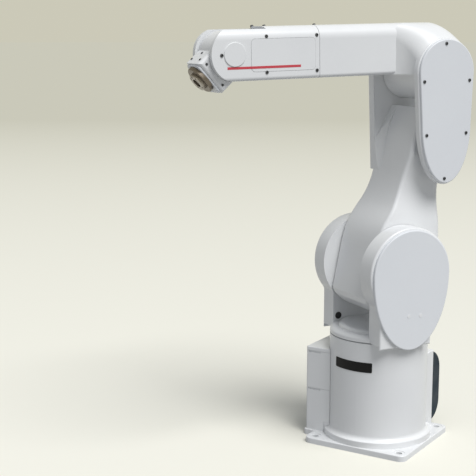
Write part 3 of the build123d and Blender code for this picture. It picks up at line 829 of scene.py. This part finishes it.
def add_housing_foot_seal():
    """Strip that closes the step of the housings over the ring of the foot."""
    low = RING_TOP + SEAL_CLEARANCE
    inner = TOWER_RADIUS + SEAL_CLEARANCE
    outline = [(RING_RADIUS, low + RING_FILLET), (RING_RADIUS, low)]
    for step in range(RING_FILLET_STEPS + 1):
        angle = pi / 2 * step / RING_FILLET_STEPS
        across = inner + RING_FILLET * (1 - sin(angle))
        outline.append((across, low + RING_FILLET * (1 - cos(angle))))
    mesh_builder = bmesh.new()
    mesh_builder.faces.new([mesh_builder.verts.new((across, 0, z)) for across, z in outline])
    sweep_round_tower(mesh_builder, SEAL_FROM, SEAL_TO, SEAL_STEPS)
    for side, outwards in ((HOUSING_FRONT, (1, 0, 0)), (HOUSING_LEFT, (0, 1, 0))):
        bmesh.ops.bisect_plane(
            mesh_builder,
            geom=everything(mesh_builder),
            plane_co=side * Vector(outwards),
            plane_no=outwards,
            clear_outer=True,
        )
    bmesh.ops.holes_fill(mesh_builder, edges=mesh_builder.edges)
    finish_piece(mesh_builder, "housing_foot_seal", white_casting, "base", BASE)


SIDE_BOX_OUTER = -146.5
SIDE_BOX_SCREW_XS = (-100.0, 57.0)
SIDE_BOX_SCREW_ZS = (28.0, 100.0, 124.0, 188.0)


def add_side_box_screws():
    places = []
    for x in SIDE_BOX_SCREW_XS:
        for z in SIDE_BOX_SCREW_ZS:
            places.append(seat(x, SIDE_BOX_OUTER, z, (0, -1, 0)))
    add_screws("side_box_screws", small_screw, "base", BASE, places)


# Camera and stage, in metres and degrees

CAMERA_AZIMUTH = 25.23          # of the camera's place about Z, from +X
CAMERA_DISTANCE = 2.5815        # level distance from the origin
CAMERA_HEIGHT = 0.9258
CAMERA_YAW = 7.04               # turn of its look direction past the origin
CAMERA_PITCH = 10.31            # downwards
FOCAL_LENGTH_PX = 1176.2        # in the photo's pixels
PHOTO_WIDTH_PX = 476.0
SENSOR_WIDTH = 36.0             # millimetres
FARTHEST_SEEN = 100.0


def add_camera():
    azimuth = radians(CAMERA_AZIMUTH)
    heading = radians(CAMERA_AZIMUTH + CAMERA_YAW)
    pitch = radians(CAMERA_PITCH)
    look = Vector((-cos(heading) * cos(pitch), -sin(heading) * cos(pitch), -sin(pitch)))
    data = bpy.data.cameras.new("photo_camera")
    data.sensor_width = SENSOR_WIDTH
    data.lens = FOCAL_LENGTH_PX / PHOTO_WIDTH_PX * SENSOR_WIDTH
    data.clip_end = FARTHEST_SEEN
    camera = bpy.data.objects.new("photo_camera", data)
    camera.location = (CAMERA_DISTANCE * cos(azimuth), CAMERA_DISTANCE * sin(azimuth), CAMERA_HEIGHT)
    camera.rotation_euler = look.to_track_quat("-Z", "Y").to_euler()
    bpy.context.scene.collection.objects.link(camera)
    bpy.context.scene.camera = camera


FLOOR_RADIUS = 60.0
FLOOR_SIDES = 96
FLOOR_ROUGHNESS = (0.85, 0.95)
SPECKLE_SCALE = 3.0
NEAR_FLOOR = 1.0                # where the floor's tone starts to deepen, towards the camera
FAR_FLOOR = -9.0                # and where it is deepest, beyond the object
NEAR_CREAM = (0.86, 0.845, 0.755)
FAR_BEIGE = (0.545, 0.53, 0.435)
FLOOR_BOUNCE = (0.34, 0.34, 0.335)
BACKDROP_BEIGE = (0.60, 0.585, 0.48)
SKY_LIGHT = (0.32, 0.335, 0.36)


def seen_rays(tree):
    """One for the rays that show the backdrop itself, straight or in a reflection."""
    rays = tree.nodes.new("ShaderNodeLightPath")
    return math_node(tree, "ADD", rays.outputs["Is Camera Ray"], rays.outputs["Is Glossy Ray"])


def floor_material():
    """Cream that deepens to beige away from the camera, and a neutral bounce on the object."""
    material, tree, principled = new_material("pale_floor")
    mapping = tree.nodes.new("ShaderNodeMapping")
    mapping.inputs["Rotation"].default_value = (0.0, 0.0, radians(-CAMERA_AZIMUTH - CAMERA_YAW))
    tree.links.new(object_coordinates(tree), mapping.inputs["Vector"])
    split = tree.nodes.new("ShaderNodeSeparateXYZ")
    tree.links.new(mapping.outputs["Vector"], split.inputs["Vector"])
    depth = map_range(tree, split.outputs["X"], NEAR_FLOOR, FAR_FLOOR, 0.0, 1.0)
    seen = mix_colors(tree, depth, NEAR_CREAM, FAR_BEIGE)
    tone = mix_colors(tree, seen_rays(tree), FLOOR_BOUNCE, seen)
    tree.links.new(tone, principled.inputs["Base Color"])
    speckle = noise(tree, object_coordinates(tree), SPECKLE_SCALE, detail=2.0)
    gloss = map_range(tree, speckle, NOISE_LOW, NOISE_HIGH, *FLOOR_ROUGHNESS)
    tree.links.new(gloss, principled.inputs["Roughness"])
    principled.inputs["Specular IOR Level"].default_value = 0.0
    return material


def add_floor():
    mesh_builder = bmesh.new()
    bmesh.ops.create_circle(mesh_builder, cap_ends=True, radius=FLOOR_RADIUS, segments=FLOOR_SIDES)
    mesh = make_mesh(mesh_builder, "floor")
    mesh.materials.append(floor_material())
    floor = bpy.data.objects.new("floor", mesh)
    bpy.context.scene.collection.objects.link(floor)


KEY_ELEVATION = 58.0
KEY_BEHIND = 12.0               # how far the key stands behind the arm's left
KEY_STRENGTH = 2.84
KEY_ANGLE = 35.0


def add_key_light():
    """One broad soft key from the arm's left and above."""
    height = radians(KEY_ELEVATION)
    behind = radians(KEY_BEHIND)
    level = left_dir * cos(behind) - forward_dir * sin(behind)
    towards = level * cos(height) + up_dir * sin(height)
    data = bpy.data.lights.new("soft_key", "SUN")
    data.energy = KEY_STRENGTH
    data.angle = radians(KEY_ANGLE)
    key = bpy.data.objects.new("soft_key", data)
    key.rotation_euler = towards.to_track_quat("Z", "Y").to_euler()
    bpy.context.scene.collection.objects.link(key)


def add_sky():
    """Even pale sky, which shows as the beige backdrop."""
    world = bpy.data.worlds.new("studio")
    bpy.context.scene.world = world
    world.use_nodes = True
    tree = world.node_tree
    background = tree.nodes["Background"]
    color = mix_colors(tree, seen_rays(tree), SKY_LIGHT, BACKDROP_BEIGE)
    tree.links.new(color, background.inputs["Color"])
    background.inputs["Strength"].default_value = 1.0


add_camera()
add_floor()
add_key_light()
add_sky()
bpy.context.scene.view_settings.view_transform = "Standard"

add_forearm_screws()
add_red_stripe()
add_elbow_cover_screws()
add_elbow_cap_screws()
add_back_cover_screws()
add_wrist_screws()
add_shoulder_plugs()
add_shoulder_cover_screws()
add_ear_grommet()
add_blank_plate()
add_inlet_pins()
add_side_box_screws()
add_housing_foot_seal()
